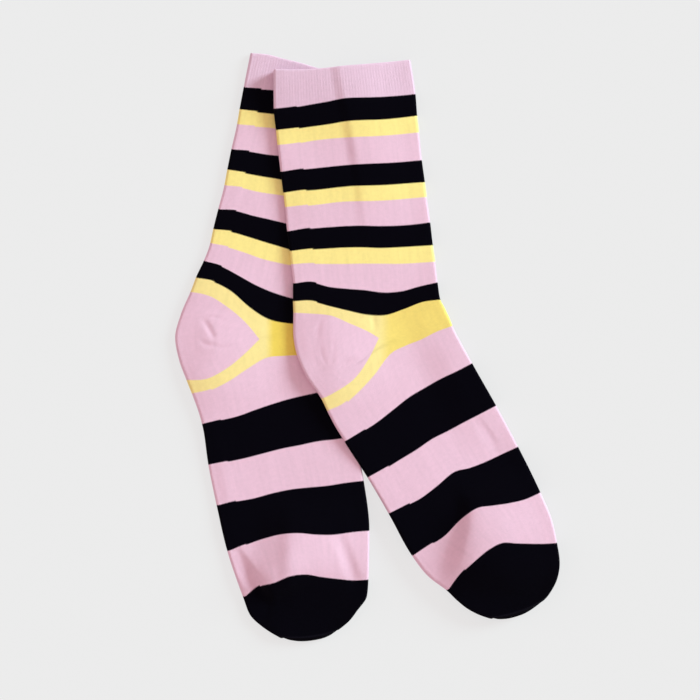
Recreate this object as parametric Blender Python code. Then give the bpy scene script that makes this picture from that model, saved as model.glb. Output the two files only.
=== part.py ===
"""A pair of knitted crew socks lying flat, the upper one across the front edge of the lower one.

Each sock is one knitted tube, flattened so that its two layers lie on each other. It is one wall
of cloth, with rounded folds down the back and the front, open at the ribbed cuff and closed along
the toe seam. Sizes are in millimetres, seen from above: X to the right, Y up the leg, Z up from
the floor. The origin is the middle of the pair on the floor.
"""

from collections import namedtuple

import bmesh
import bpy
import numpy as np

MM = 0.001
TINY = 1e-6             # keeps a division clear of zero

# Cloth
WALL = 1.3              # one layer of knit
HOLLOW = 0.8            # space left between the two layers
HEIGHT = 2 * WALL + HOLLOW
EDGE_ROUND = 2.2        # width of the rounded fold along the back and the front
TOE_ROUND = 5.0         # length over which the layers close on each other at the toe seam
SEAM_HEIGHT = 1.4       # height of the closed edge along the toe seam
TOE_LINING_STOP = 2.2   # how far short of the seam the hollow ends

# Ribbed cuff
CUFF_LENGTH = 21.0
RIBS_ACROSS = 48        # ribs on each layer
RIB_DEPTH = 0.3
RIB_FADE = 2.0          # length over which the ribs run out below the cuff

# Lay
SEAT_GAP = 0.31         # the upper sock clears the lower one by this
LEVEL_PAST = 3.0        # the upper sock stays level this far past the lower one's edge
DRAPE = 24.0            # and comes down to the floor over this width

# Mesh
RING_STEP = 8.0         # greatest distance between two rings along a fold
FLAT_CELLS = 20         # cells across one layer of the outer wall
LINING_CELLS = 12       # and of the inner wall
FOLD_CELLS = 4          # cells round one fold
CELLS_PER_RIB = 2
CUFF_RINGS = 4
FOLD_SHARE = 0.03       # share of a layer's width that its fold takes up when rings are joined
TOE_RING_PARTS = (1.0, 0.6, 0.3, 0.1, 0.0)
OUTLINE_STEPS = 60      # steps along each fold where the lower sock's edge is traced

# A course is one knitted round, running across the tube from its back fold to its front fold.
# The sags say how far it bows towards the toe at a quarter, half and three quarters of the way.
Course = namedtuple("Course", "name back_x back_y front_x front_y sag_back sag_mid sag_front")

LOWER_COURSES = (
    Course("cuff rim", -69.9, 175.8, 10.8, 157.2, -1.3, -0.3, 0.2),
    Course("under cuff", -74.1, 154.8, 6.6, 136.8, -2.9, -2.9, -1.7),
    Course("upper leg", -81.6, 117.6, 0.6, 100.2, -1.9, -2.6, -1.5),
    Course("lower leg", -89.4, 81.6, -6.0, 61.8, -1.7, -1.6, -0.9),
    Course("ankle", -98.2, 50.8, -15.0, 24.2, 1.5, 4.8, 3.9),
    Course("above heel", -102.9, 40.4, -16.8, 13.9, 0.7, 10.5, 6.7),
    Course("heel start", -105.9, 32.4, -16.6, 7.8, 2.8, 13.6, 7.6),
    Course("heel upper", -112.8, 15.1, -16.4, 6.0, 2.8, 5.7, 3.5),
    Course("heel point", -115.1, 3.6, -16.2, 4.5, 0.0, 0.2, 0.0),
    Course("heel lower", -112.6, -9.0, -16.0, 3.0, -2.8, -5.6, -3.0),
    Course("heel end", -108.3, -20.4, -15.8, 1.5, -0.6, -10.7, -5.3),
    Course("below heel", -105.0, -28.9, -15.6, -3.8, -1.8, -9.1, -4.8),
    Course("instep", -99.0, -47.1, -12.6, -23.4, 0.7, -0.8, -0.5),
    Course("upper foot", -95.2, -71.7, -7.2, -54.3, 0.0, -1.3, -1.4),
    Course("middle foot", -90.2, -96.2, -1.8, -80.8, -1.0, -2.5, -0.9),
    Course("lower foot", -83.8, -123.9, 1.7, -110.7, -4.7, -4.8, -0.5),
    Course("toe start", -74.4, -152.0, 1.1, -140.0, -7.3, -9.4, -3.6),
    Course("toe upper", -70.2, -162.0, 0.2, -150.0, -4.5, -6.0, -2.5),
    Course("toe middle", -64.2, -167.7, -5.3, -159.3, -1.5, -2.0, -0.8),
    Course("toe lower", -58.2, -171.6, -10.0, -165.2, 1.0, 1.5, 1.2),
    Course("toe seam", -51.9, -174.5, -16.3, -170.2, 3.4, 4.4, 4.1),
)

UPPER_COURSES = (
    Course("cuff rim", -56.4, 165.6, 26.1, 171.6, 1.5, 1.0, 0.7),
    Course("under cuff", -56.0, 141.9, 29.1, 151.2, -0.7, -2.1, -0.7),
    Course("upper leg", -51.6, 104.2, 33.0, 111.6, -1.0, -1.2, -0.1),
    Course("lower leg", -47.5, 68.2, 38.0, 74.0, -1.4, -1.1, 0.6),
    Course("ankle", -44.4, 37.0, 42.5, 38.1, 1.6, 4.1, 5.0),
    Course("above heel", -44.5, 26.4, 44.2, 27.7, 2.8, 8.3, 5.5),
    Course("heel start", -44.2, 19.9, 47.5, 21.3, 2.2, 12.8, 8.7),
    Course("heel upper", -43.8, 9.6, 48.1, 20.2, 4.9, 9.8, 6.2),
    Course("heel point", -42.2, -3.0, 48.7, 19.0, 2.2, 4.4, 2.6),
    Course("heel lower", -37.8, -15.3, 49.3, 17.9, -0.6, -1.2, -0.6),
    Course("heel end", -27.2, -31.5, 49.9, 16.8, 0.5, -9.9, -5.8),
    Course("below heel", -23.1, -39.3, 51.5, 12.0, -0.6, -7.5, -4.6),
    Course("instep", -12.8, -57.6, 63.2, -10.3, 0.0, -2.6, -2.0),
    Course("upper foot", 0.8, -79.2, 77.6, -35.8, -0.1, -1.6, -0.9),
    Course("middle foot", 13.1, -100.8, 90.7, -60.4, -0.1, -4.4, -1.2),
    Course("lower foot", 27.2, -126.4, 104.1, -88.0, -2.3, -8.5, -2.9),
    Course("ball of foot", 36.6, -139.0, 110.6, -103.5, -5.8, -12.0, -5.5),
    Course("toe start", 47.6, -148.4, 114.0, -117.8, -9.5, -15.3, -8.1),
    Course("toe upper", 54.0, -153.6, 115.6, -130.2, -5.5, -8.0, -4.5),
    Course("toe middle", 60.6, -158.1, 114.4, -140.0, -1.0, -2.0, -1.0),
    Course("toe lower", 67.3, -161.5, 110.4, -147.9, 1.2, 1.6, 1.2),
    Course("toe seam", 74.0, -163.4, 105.9, -152.7, 3.3, 4.0, 3.0),
)

# A crease follows a path of (x, y, height) in the top layer, from the leg towards the toe. It
# fades out over one width towards the back of the sock and another towards the front, and a
# trough has a negative height.
Crease = namedtuple("Crease", "name to_back to_front path")

LOWER_CREASES = (
    Crease("heel dome", 20.0, 38.0, ((-91.0, 17.0, 1.4), (-89.0, 3.0, 1.6), (-91.0, -12.0, 1.4))),
    Crease("heel pucker", 5.0, 5.0, ((-95.5, 14.0, -0.4), (-91.5, 5.0, -0.4))),
    Crease("toe swell", 22.0, 160.0, ((-44.6, -104.0, 0.0), (-44.4, -124.0, 1.5),
                                      (-43.4, -137.0, 1.6), (-40.0, -166.0, 0.2))),
    Crease("toe fold", 6.0, 160.0, ((-77.0, -117.0, 0.0), (-66.2, -132.6, 1.2),
                                    (-61.4, -138.0, 1.2), (-53.4, -152.4, 0.1))),
    Crease("toe trough, back", 5.0, 5.0, ((-75.6, -126.6, -0.3), (-69.8, -133.8, -0.5),
                                          (-61.4, -144.6, -0.3))),
    Crease("toe trough, front", 5.0, 6.0, ((-17.4, -111.0, -0.2), (-11.4, -125.4, -0.5),
                                           (-3.6, -146.0, -0.1))),
)

UPPER_CREASES = (
    Crease("cuff lift", 8.0, 130.0, ((-56.4, 173.0, 1.0), (-56.4, 158.0, 0.9),
                                     (-55.0, 144.0, 0.3), (-54.0, 130.0, 0.0))),
    Crease("leg ridge", 7.0, 50.0, ((-17.0, 173.0, 0.9), (-13.8, 156.6, 1.0), (-5.8, 118.0, 1.0),
                                    (-0.6, 78.0, 0.4), (1.5, 60.0, 0.0))),
    Crease("leg swell", 32.0, 40.0, ((-15.0, 173.0, 0.6), (-3.8, 118.0, 0.5), (3.0, 50.0, 0.3))),
    Crease("heel lift", 8.0, 100.0, ((-45.0, 30.0, 0.0), (-43.0, 6.0, 0.5), (-38.0, -14.0, 0.8),
                                     (-28.0, -32.0, 0.7), (-16.0, -52.0, 0.0))),
    Crease("heel dome", 18.0, 42.0, ((-20.0, 13.0, 0.8), (-18.0, -3.0, 1.0), (-16.0, -18.0, 0.8))),
    Crease("instep swell", 23.0, 60.0, ((46.0, 12.0, 0.8), (51.0, 0.6, 1.4), (57.6, -15.6, 1.4),
                                        (70.0, -39.6, 0.8), (81.0, -60.0, 0.0))),
    Crease("foot trough", 7.0, 4.0, ((65.4, -44.0, -0.2), (72.6, -52.8, -0.4), (78.0, -62.4, -0.2))),
    Crease("toe swell", 34.0, 160.0, ((62.0, -92.0, 0.1), (63.0, -104.0, 0.8), (65.4, -120.0, 1.4),
                                      (70.0, -150.0, 0.2))),
    Crease("toe fold", 8.0, 160.0, ((63.0, -90.0, 0.0), (61.8, -110.0, 0.9), (60.6, -121.0, 1.2),
                                    (62.2, -130.0, 1.1), (64.0, -150.0, 0.1))),
)

SAG_STATIONS = np.array([0.0, 0.25, 0.5, 0.75, 1.0])

PINK_YARN = (0.84, 0.6, 0.71, 1.0)
YARN_ROUGHNESS = 0.95


def smooth_through(knots, values, at):
    """Read the smooth curves that pass through rows of values, one row for each knot."""
    steps = np.diff(knots)[:, None]
    rises = np.diff(values, axis=0) / steps
    slopes = np.vstack((rises[:1], np.zeros_like(rises[1:]), rises[-1:]))
    slopes[1:-1] = (rises[:-1] * steps[1:] + rises[1:] * steps[:-1]) / (steps[1:] + steps[:-1])
    cell = np.clip(np.searchsorted(knots, at, side="right") - 1, 0, len(steps) - 1)
    step = steps[cell]
    part = (np.asarray(at) - knots[cell])[:, None] / step
    rest = 1.0 - part
    low = values[cell] * (1.0 + 2.0 * part) + slopes[cell] * step * part
    high = values[cell + 1] * (1.0 + 2.0 * rest) - slopes[cell + 1] * step * rest
    return low * rest**2 + high * part**2


def ease(part):
    """Rise smoothly from 0 to 1 as part does."""
    part = np.clip(part, 0.0, 1.0)
    return part * part * (3.0 - 2.0 * part)


def distance_to_segment(points, start, end):
    """Give each point's distance from a straight segment."""
    line = end - start
    along = np.clip((points - start) @ line / (line @ line), 0.0, 1.0)
    return np.linalg.norm(points - start - along[:, None] * line, axis=1)


def distance_outside(points, outline):
    """Give each point's distance from a closed outline, or 0 inside it."""
    nearest = np.full(len(points), np.inf)
    inside = np.zeros(len(points), dtype=bool)
    for start, end in zip(outline, np.roll(outline, -1, axis=0)):
        nearest = np.minimum(nearest, distance_to_segment(points, start, end))
        spans = (start[1] > points[:, 1]) != (end[1] > points[:, 1])
        if spans.any():
            share = (points[:, 1] - start[1]) / (end[1] - start[1])
            inside ^= spans & (points[:, 0] < start[0] + share * (end[0] - start[0]))
    return np.where(inside, 0.0, nearest)


class RingPattern:
    """How the points of one ring are spread round the flattened tube, starting at the back fold.

    across runs from 0 at the back to 1 at the front over the flat part of a layer. turn is the
    angle round a fold, from -90 degrees underneath to 90 on top. order runs once round the ring.
    """

    def __init__(self, flat_cells):
        half_fold = FOLD_CELLS // 2
        rise = np.linspace(0.0, 0.5 * np.pi, half_fold + 1)
        flat = np.linspace(0.0, 1.0, flat_cells + 1)[1:-1]
        across_top = np.concatenate((np.zeros(half_fold + 1), flat, np.ones(half_fold + 1)))
        turn_top = np.concatenate((rise, np.full(len(flat), 0.5 * np.pi), rise[::-1]))
        fold_share = FOLD_SHARE * rise / rise[-1]
        flat_share = FOLD_SHARE + (1.0 - 2.0 * FOLD_SHARE) * flat
        order_top = np.concatenate((fold_share, flat_share, 1.0 - fold_share[::-1]))
        self.across = np.concatenate((across_top, across_top[-2:0:-1]))
        self.turn = np.concatenate((turn_top, -turn_top[-2:0:-1]))
        self.order = np.concatenate((order_top, 2.0 - order_top[-2:0:-1]))
        self.count = len(self.across)


PLAIN_RING = RingPattern(FLAT_CELLS)
LINING_RING = RingPattern(LINING_CELLS)
RIB_RING = RingPattern(RIBS_ACROSS * CELLS_PER_RIB)


class FlatSock:
    """The form of one flattened sock: where each point of its outer and inner wall lies."""

    def __init__(self, courses, creases, seat):
        rows = np.array([course[1:] for course in courses])
        backs, fronts = rows[:, 0:2], rows[:, 2:4]
        lines = (backs, 0.5 * (backs + fronts), fronts)
        gaps = [np.linalg.norm(np.diff(line, axis=0), axis=1) for line in lines]
        self.rows = rows
        self.creases = creases
        self.seat = seat
        self.knots = np.concatenate(([0.0], np.cumsum(np.mean(gaps, axis=0))))
        self.steps_between = np.ceil(np.max(gaps, axis=0) / RING_STEP).astype(int)
        self.length = self.knots[-1]

    def course(self, run, across, inset=0.0):
        """Place points across the course at run, and give its frontward direction."""
        row = smooth_through(self.knots, self.rows, np.array([run]))[0]
        back, front = row[0:2], row[2:4]
        width = np.linalg.norm(front - back)
        frontward = (front - back) / width
        toeward = np.array([frontward[1], -frontward[0]])
        share = (inset + across * (width - 2.0 * inset)) / width
        sags = np.array([0.0, *row[4:7], 0.0])[:, None]
        sag = smooth_through(SAG_STATIONS, sags, share)
        return back + share[:, None] * width * frontward + sag * toeward, frontward

    def outline(self):
        """Run once round the sock's edge, seen from above."""
        runs = np.linspace(0.0, self.length, OUTLINE_STEPS)
        edges = [self.course(run, np.array([0.0, 1.0]))[0] for run in runs]
        across = np.linspace(0.0, 1.0, FLAT_CELLS)
        seam = self.course(self.length, across)[0]
        cuff = self.course(0.0, across[::-1])[0]
        back = [edge[0] for edge in edges]
        front = [edge[1] for edge in reversed(edges)]
        return np.array([*back, *seam[1:-1], *front, *cuff[1:-1]])

    def relief(self, points):
        """Height that the creases add to the top layer."""
        total = np.zeros(len(points))
        for crease in self.creases:
            nearest = np.full(len(points), np.inf)
            height = np.zeros(len(points))
            width = np.zeros(len(points))
            path = np.array(crease.path)
            for start, end in zip(path, path[1:]):
                line = end[:2] - start[:2]
                along = np.clip((points - start[:2]) @ line / (line @ line), 0.0, 1.0)
                away = points - start[:2] - along[:, None] * line
                distance = np.linalg.norm(away, axis=1)
                sideways = (line[0] * away[:, 1] - line[1] * away[:, 0]) / np.linalg.norm(line)
                front_share = 0.5 + 0.5 * sideways / np.maximum(distance, TINY)
                closer = distance < nearest
                nearest = np.where(closer, distance, nearest)
                height = np.where(closer, start[2] + along * (end[2] - start[2]), height)
                blend = crease.to_back + (crease.to_front - crease.to_back) * front_share
                width = np.where(closer, blend, width)
            total += height * (0.5 + 0.5 * np.cos(np.pi * np.minimum(nearest / width, 1.0)))
        return total

    def closing(self, run):
        """How open the tube is at run: 1 along the foot, down to 0 at the toe seam."""
        part = min((self.length - run) / TOE_ROUND, 1.0)
        return np.sqrt(1.0 - (1.0 - part) ** 2)

    def ring(self, run, pattern, wall=0.0, rib_depth=0.0):
        """Place one ring of the outer wall, or of the inner wall where wall is its thickness."""
        points, frontward = self.course(run, pattern.across, EDGE_ROUND)
        outward = np.sign(pattern.across - 0.5) * (EDGE_ROUND - wall) * np.cos(pattern.turn)
        points += outward[:, None] * frontward
        half = 0.5 * (SEAM_HEIGHT + (HEIGHT - SEAM_HEIGHT) * self.closing(run)) - wall
        valley = rib_depth * (np.arange(pattern.count) % CELLS_PER_RIB == 0)
        height = 0.5 * HEIGHT + (half - valley) * np.sin(pattern.turn)
        on_top = (0.5 + 0.5 * np.sin(pattern.turn)) * self.closing(run)
        height += self.relief(points) * on_top + self.seat(points)
        return np.column_stack((points, height)) * MM

    def runs_below_cuff(self, end):
        """List where the plain rings lie, from the end of the ribs to a given end."""
        runs = [CUFF_LENGTH + 2.0 * RIB_FADE]
        for start, step, count in zip(self.knots, np.diff(self.knots), self.steps_between):
            runs += [start + step * part / count for part in range(1, count + 1)]
        toe_runs = [self.length - TOE_ROUND * part for part in TOE_RING_PARTS]
        kept = [run for run in runs if runs[0] + RIB_FADE <= run < toe_runs[0] - RIB_FADE]
        return [runs[0]] + kept + [run for run in toe_runs if run < end] + [end]


class WallMesh:
    """A mesh built from rings of points, each joined to the one before."""

    def __init__(self):
        self.points = []
        self.faces = []

    def add_ring(self, points, pattern):
        """Add a ring and give its indices with their order round it."""
        first = len(self.points)
        self.points.extend(points)
        return np.arange(first, first + pattern.count), pattern.order

    def join(self, ring_a, ring_b):
        """Fill between two rings, which may have different numbers of points."""
        indices_a, order_a = ring_a
        indices_b, order_b = ring_b
        if len(indices_a) == len(indices_b):
            next_a, next_b = np.roll(indices_a, -1), np.roll(indices_b, -1)
            self.faces.extend(zip(indices_a, next_a, next_b, indices_b))
            return
        ends_a, ends_b = np.append(order_a, 2.0), np.append(order_b, 2.0)
        a, b = 0, 0
        while a < len(indices_a) or b < len(indices_b):
            point_a, point_b = indices_a[a % len(indices_a)], indices_b[b % len(indices_b)]
            advance_a = b == len(indices_b) or (a < len(indices_a) and ends_a[a + 1] <= ends_b[b + 1])
            if advance_a:
                a += 1
                self.faces.append((point_a, indices_a[a % len(indices_a)], point_b))
            else:
                b += 1
                self.faces.append((point_a, indices_b[b % len(indices_b)], point_b))

    def close(self, ring):
        """Close a ring by joining its top to its underside, from fold to fold."""
        indices, _ = ring
        count = len(indices)
        for step in range(count // 2):
            upper, upper_next = indices[step], indices[step + 1]
            lower, lower_next = indices[-step % count], indices[-(step + 1) % count]
            corners = dict.fromkeys((upper, upper_next, lower_next, lower))
            self.faces.append(tuple(corners))

    def to_object(self, name, material, collection):
        mesh = bpy.data.meshes.new(name)
        faces = [[int(corner) for corner in face] for face in self.faces]
        mesh.from_pydata(self.points, [], faces)
        shape = bmesh.new()
        shape.from_mesh(mesh)
        bmesh.ops.recalc_face_normals(shape, faces=shape.faces)
        shape.to_mesh(mesh)
        shape.free()
        mesh.shade_smooth()
        mesh.materials.append(material)
        sock = bpy.data.objects.new(name, mesh)
        collection.objects.link(sock)
        return sock


def build_sock(form, name, material, collection):
    """Build one sock: the ribbed cuff, the outer wall to the toe seam, and the inner wall back."""
    wall = WallMesh()
    rings = []
    for run in np.linspace(0.0, CUFF_LENGTH, CUFF_RINGS):
        rings.append(wall.add_ring(form.ring(run, RIB_RING, rib_depth=RIB_DEPTH), RIB_RING))
    rings.append(wall.add_ring(form.ring(CUFF_LENGTH + RIB_FADE, RIB_RING), RIB_RING))
    rim = rings[0]
    for run in form.runs_below_cuff(form.length):
        rings.append(wall.add_ring(form.ring(run, PLAIN_RING), PLAIN_RING))
    for ring_a, ring_b in zip(rings, rings[1:]):
        wall.join(ring_a, ring_b)
    wall.close(rings[-1])

    inner_runs = [0.0, 0.5 * CUFF_LENGTH] + form.runs_below_cuff(form.length - TOE_LINING_STOP)
    rings = [wall.add_ring(form.ring(run, LINING_RING, wall=WALL), LINING_RING) for run in inner_runs]
    for ring_a, ring_b in zip(rings, rings[1:]):
        wall.join(ring_a, ring_b)
    wall.close(rings[-1])
    wall.join(rim, rings[0])
    return wall.to_object(name, material, collection)


def make_material(name, colour):
    material = bpy.data.materials.new(name)
    material.use_nodes = True
    shader = material.node_tree.nodes["Principled BSDF"]
    shader.inputs["Base Color"].default_value = colour
    shader.inputs["Roughness"].default_value = YARN_ROUGHNESS
    return material


def clear_scene():
    for old in list(bpy.data.objects):
        bpy.data.objects.remove(old, do_unlink=True)


def main():
    clear_scene()
    pair = bpy.data.collections.new("pair_of_socks")
    bpy.context.scene.collection.children.link(pair)

    def floor(points):
        return np.zeros(len(points))

    lower = FlatSock(LOWER_COURSES, LOWER_CREASES, floor)
    lower_outline = lower.outline()

    def over_lower_sock(points):
        past = distance_outside(points, lower_outline) - LEVEL_PAST
        return (HEIGHT + SEAT_GAP) * ease(1.0 - past / DRAPE)

    upper = FlatSock(UPPER_COURSES, UPPER_CREASES, over_lower_sock)
    build_sock(lower, "sock_under", make_material("yarn_under", PINK_YARN), pair)
    build_sock(upper, "sock_over", make_material("yarn_over", PINK_YARN), pair)


main()
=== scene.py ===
import math
from collections import namedtuple

import bpy
import numpy as np
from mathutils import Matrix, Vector


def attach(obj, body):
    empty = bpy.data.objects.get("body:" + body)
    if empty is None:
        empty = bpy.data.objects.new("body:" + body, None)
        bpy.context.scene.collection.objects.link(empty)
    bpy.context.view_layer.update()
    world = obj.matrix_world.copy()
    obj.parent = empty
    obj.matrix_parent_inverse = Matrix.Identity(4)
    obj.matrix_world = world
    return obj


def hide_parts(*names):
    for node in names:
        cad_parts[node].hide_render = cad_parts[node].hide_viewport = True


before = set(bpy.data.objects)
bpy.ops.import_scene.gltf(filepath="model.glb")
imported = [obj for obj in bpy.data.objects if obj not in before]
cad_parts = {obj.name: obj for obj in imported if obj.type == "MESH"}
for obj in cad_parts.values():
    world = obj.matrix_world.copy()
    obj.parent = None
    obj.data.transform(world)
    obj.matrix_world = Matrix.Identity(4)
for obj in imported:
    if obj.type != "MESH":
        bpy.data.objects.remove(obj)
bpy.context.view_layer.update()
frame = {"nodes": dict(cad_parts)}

mm = 0.001
tiny = 1e-6             # keeps a division clear of zero and a comparison clear of rounding
print("frame loaded:", ", ".join(frame["nodes"]))

# The sizes below are in mm, seen from above: X to the right, Y up the leg, Z up from the floor.

knit = {
    "wall": 1.3,                # one layer of cloth
    "hollow": 0.8,              # air left between the layers
    "foldWidths": (1.8, 1.0),   # rounded folds down the back and the front
    "walesFlat": 96,            # columns of stitches across one layer
    "walesFold": 4,             # columns round one fold
    "courseHeight": 0.66,       # one round of stitches
    "cuffLength": 21.0,         # 1x1 rib
    "ribFade": 2.4,             # the ribs run out over this
    "ribDepth": 0.075,
    "backRoll": (0.15, 6.0),    # the top layer drops this much at the back fold, over this width
    "frontRise": (0.3, 10.0),   # and rises this much at the front fold
    "tuck": (0.34, 16.0),       # a raised edge draws in below by this share of its rise, over this width
    "toeRound": 5.0,            # where the layers close on each other
    "toeEdge": 0.7,             # height of the linked edge
    "toeSeamIn": 3.0,           # the linking shows as a fine ridge this far in from the edge
    "toeSeamWidth": 1.3,
    "toeSeamHeight": 0.22,
    "creaseBlend": (0.2, 0.08),     # how softly a crease takes its bends, near it and for each mm away
    "creaseFineness": 4,        # points in the smoothed path for each one given
    "ringStep": 1.3,
    "ringRoom": 1.0,            # a line has a ring of its own, unless this near the ribs or the toe
    "ribToPlain": 0.6,          # over this the ribs' finer rings join the plain ones
    "toeRings": 9,
    "rimRings": 7,              # round the rolled rim of the cuff
    "liningStep": 7.0,
    "liningStops": (1.0, 3.2),  # short of the rim and of the toe's edge
    "outlineSteps": (90, 20),   # down a fold and across an end, where an outline is traced
}
flatHeight = 2 * knit["wall"] + knit["hollow"]
layerWales = knit["walesFlat"] + knit["walesFold"]

# A line is one course, across the tube from its back fold to its front fold. y1 to y7 are its
# heights at eighths of the way. Its yarn is knitted from there towards the toe.
Line = namedtuple("Line", "name yarn backX backY y1 y2 y3 y4 y5 y6 y7 frontX frontY")
eighths = np.linspace(0.0, 1.0, 9)

underLines = [
    Line("cuff rim", "cuffPink", -69.9, 175.8, 175.0, 172.4, 169.9, 166.9, 164.4, 162.0, 159.6, 10.8, 157.2),
    Line("black 1", "black", -74.1, 154.8, 154.2, 153.4, 151.5, 149.1, 146.4, 143.5, 140.4, 6.6, 136.8),
    Line("yellow 1", "yellow", -76.6, 141.6, 140.4, 139.2, 137.2, 135.0, 132.6, 130.0, 127.2, 4.4, 124.2),
    Line("pink 1", "pink", -78.1, 132.6, 131.8, 131.0, 129.4, 127.2, 124.5, 121.6, 118.5, 3.0, 115.2),
    Line("black 2", "black", -81.5, 117.6, 116.9, 115.2, 113.9, 111.8, 109.3, 106.5, 103.5, 0.6, 100.2),
    Line("yellow 2", "yellow", -84.0, 105.4, 103.8, 101.9, 100.2, 98.2, 96.0, 93.4, 90.6, -1.8, 87.6),
    Line("pink 2", "pink", -85.7, 96.0, 95.0, 92.6, 91.0, 89.4, 87.4, 85.0, 82.2, -3.6, 79.2),
    Line("black 3", "black", -89.4, 81.6, 81.2, 78.4, 76.0, 73.4, 70.6, 67.8, 64.8, -6.0, 61.8),
    Line("yellow 3", "yellow", -92.4, 69.6, 68.6, 65.7, 62.4, 59.3, 56.2, 53.5, 50.8, -9.6, 48.6),
    Line("pink 3", "pink", -94.2, 61.4, 59.4, 56.2, 52.5, 49.9, 47.7, 45.1, 42.6, -11.4, 40.2),
    Line("black 4", "black", -98.1, 50.8, 48.0, 42.6, 36.8, 32.3, 29.0, 27.0, 25.4, -15.0, 24.2),
    Line("heel band", "heelYellow", -102.9, 40.5, 38.5, 32.9, 23.5, 16.5, 13.8, 13.3, 13.5, -16.8, 13.9),
    Line("pocket top", "heelYellow", -106.0, 32.4, 30.1, 23.3, 13.7, 6.4, 8.6, 9.2, 9.5, -16.5, 10.0),
    Line("pocket quarter", "heelYellow", -112.0, 18.0, 18.7, 16.5, 11.2, 4.9, 5.6, 6.1, 6.5, -16.4, 7.2),
    Line("pocket half", "heelYellow", -115.2, 5.0, 5.6, 5.5, 4.9, 3.3, 3.6, 3.9, 4.4, -16.2, 5.1),
    Line("pocket low", "heelYellow", -112.9, -8.0, -7.5, -5.5, -1.9, 1.3, 1.6, 1.9, 2.3, -16.0, 2.9),
    Line("pocket end", "heelYellow", -108.3, -20.4, -19.8, -14.1, -4.9, -1.2, -1.7, -1.4, -0.9, -15.8, 0.2),
    Line("pink 4", "pink", -105.0, -29.0, -26.3, -20.8, -13.4, -7.0, -5.9, -5.4, -4.8, -15.6, -3.7),
    Line("black 5", "black", -99.0, -47.1, -44.5, -41.9, -38.0, -34.4, -31.3, -28.9, -26.6, -12.6, -23.4),
    Line("pink 5", "pink", -95.2, -71.7, -69.5, -67.2, -64.4, -61.6, -59.5, -57.2, -56.0, -7.2, -54.3),
    Line("black 6", "black", -90.2, -96.2, -93.3, -91.3, -88.3, -86.0, -84.8, -83.8, -82.1, -1.8, -80.8),
    Line("pink 6", "pink", -83.8, -123.9, -119.4, -115.6, -112.8, -112.0, -112.9, -113.0, -111.6,
         1.7, -110.7),
    Line("toe", "black", -74.4, -152.0, -144.3, -141.5, -137.6, -136.6, -138.2, -139.4, -140.4, 1.1, -140.0),
    Line("toe upper", "black", -70.2, -162.0, -157.9, -154.5, -151.8, -150.0, -150.0, -150.5, -150.3,
         0.2, -150.0),
    Line("toe middle", "black", -64.2, -167.7, -165.8, -164.1, -162.7, -161.5, -161.0, -160.6, -159.8,
         -5.8, -158.9),
    Line("toe lower", "black", -58.2, -171.6, -171.4, -171.0, -170.5, -169.9, -169.0, -168.0, -166.5,
         -10.5, -164.8),
    Line("toe edge", "black", -51.9, -174.5, -176.3, -177.1, -177.3, -177.0, -176.3, -175.2, -173.2,
         -16.8, -169.8),
]

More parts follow.
